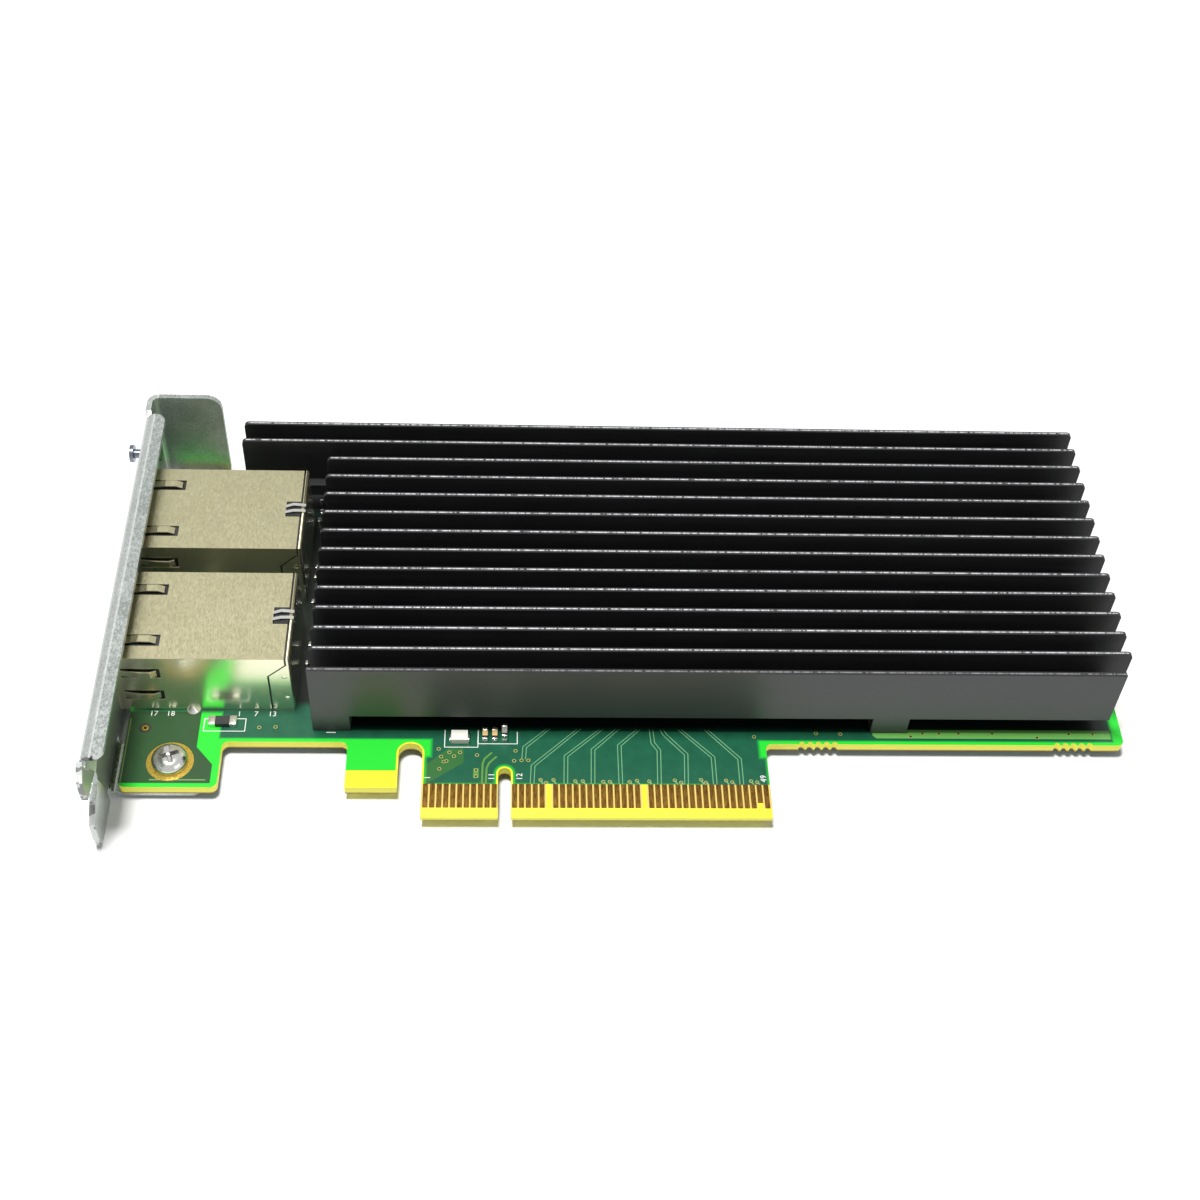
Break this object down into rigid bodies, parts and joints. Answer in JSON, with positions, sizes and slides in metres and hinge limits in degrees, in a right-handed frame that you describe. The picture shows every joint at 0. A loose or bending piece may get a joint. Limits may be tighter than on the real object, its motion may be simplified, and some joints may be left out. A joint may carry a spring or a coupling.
{
  "type": "network interface card",
  "caption": "Low-profile expansion card with two shielded network sockets, a folded metal bracket, an edge connector and a long black finned heatsink",
  "frame": {"origin": "middle of the edge connector's key notch, at the tip of the connector, on the board's component-side face", "axes": "+X along the card away from the bracket, +Y from the connector's tip across the board, +Z out of the component side; the card lies on its solder side"},
  "size_m": [0.1558, 0.075, 0.0185],
  "materials": {
    "board": "dark green solder mask over glass-epoxy laminate, satin",
    "gold": "gold plating, polished",
    "bracket_steel": "nickel-plated steel sheet, bright",
    "screw_steel": "nickel-plated screws",
    "shield_nickel": "bright nickel-plated sheet, slightly warm",
    "black_aluminium": "black anodised extrusion, satin",
    "black_plastic": "moulded black plastic",
    "light_pipe": "milky clear plastic",
    "chip_substrate": "green package substrate",
    "chip_epoxy": "black moulded epoxy",
    "lid_metal": "nickel-plated lid",
    "thermal_pad": "soft grey silicone pad",
    "ferrite": "pressed grey ferrite",
    "ceramic": "tan ceramic with tinned ends",
    "white_ceramic": "white ceramic"
  },
  "bodies": {
    "root": {"circuit_board": "board", "edge_contacts_component_side": "gold", "edge_contacts_solder_side": "gold", "bracket": "bracket_steel", "bracket_stud": "bracket_steel", "bracket_screws": "screw_steel", "heatsink": "black_aluminium", "heatsink_screws": "screw_steel", "controller_substrate": "chip_substrate", "controller_lid": "lid_metal", "controller_thermal_pad": "thermal_pad", "transceiver_substrate": "chip_substrate", "transceiver_lid": "lid_metal", "transceiver_thermal_pad": "thermal_pad", "regulator_inductors": "ferrite", "regulator_drivers": "chip_epoxy", "tank_capacitors": "chip_epoxy", "flash_memory_chip": "chip_epoxy", "clock_crystal": "lid_metal", "chip_capacitors_component_side": "ceramic", "chip_capacitors_solder_side": "ceramic", "surge_suppressor": "chip_epoxy", "common_mode_filter": "white_ceramic", "front_capacitors": "ceramic", "front_filter": "ferrite", "near_port_shield": "shield_nickel", "near_port_rear_cover": "shield_nickel", "near_port_housing": "black_plastic", "near_port_contacts": "gold", "near_port_light_pipes": "light_pipe", "far_port_shield": "shield_nickel", "far_port_rear_cover": "shield_nickel", "far_port_housing": "black_plastic", "far_port_contacts": "gold", "far_port_light_pipes": "light_pipe"}
  },
  "joints": []
}
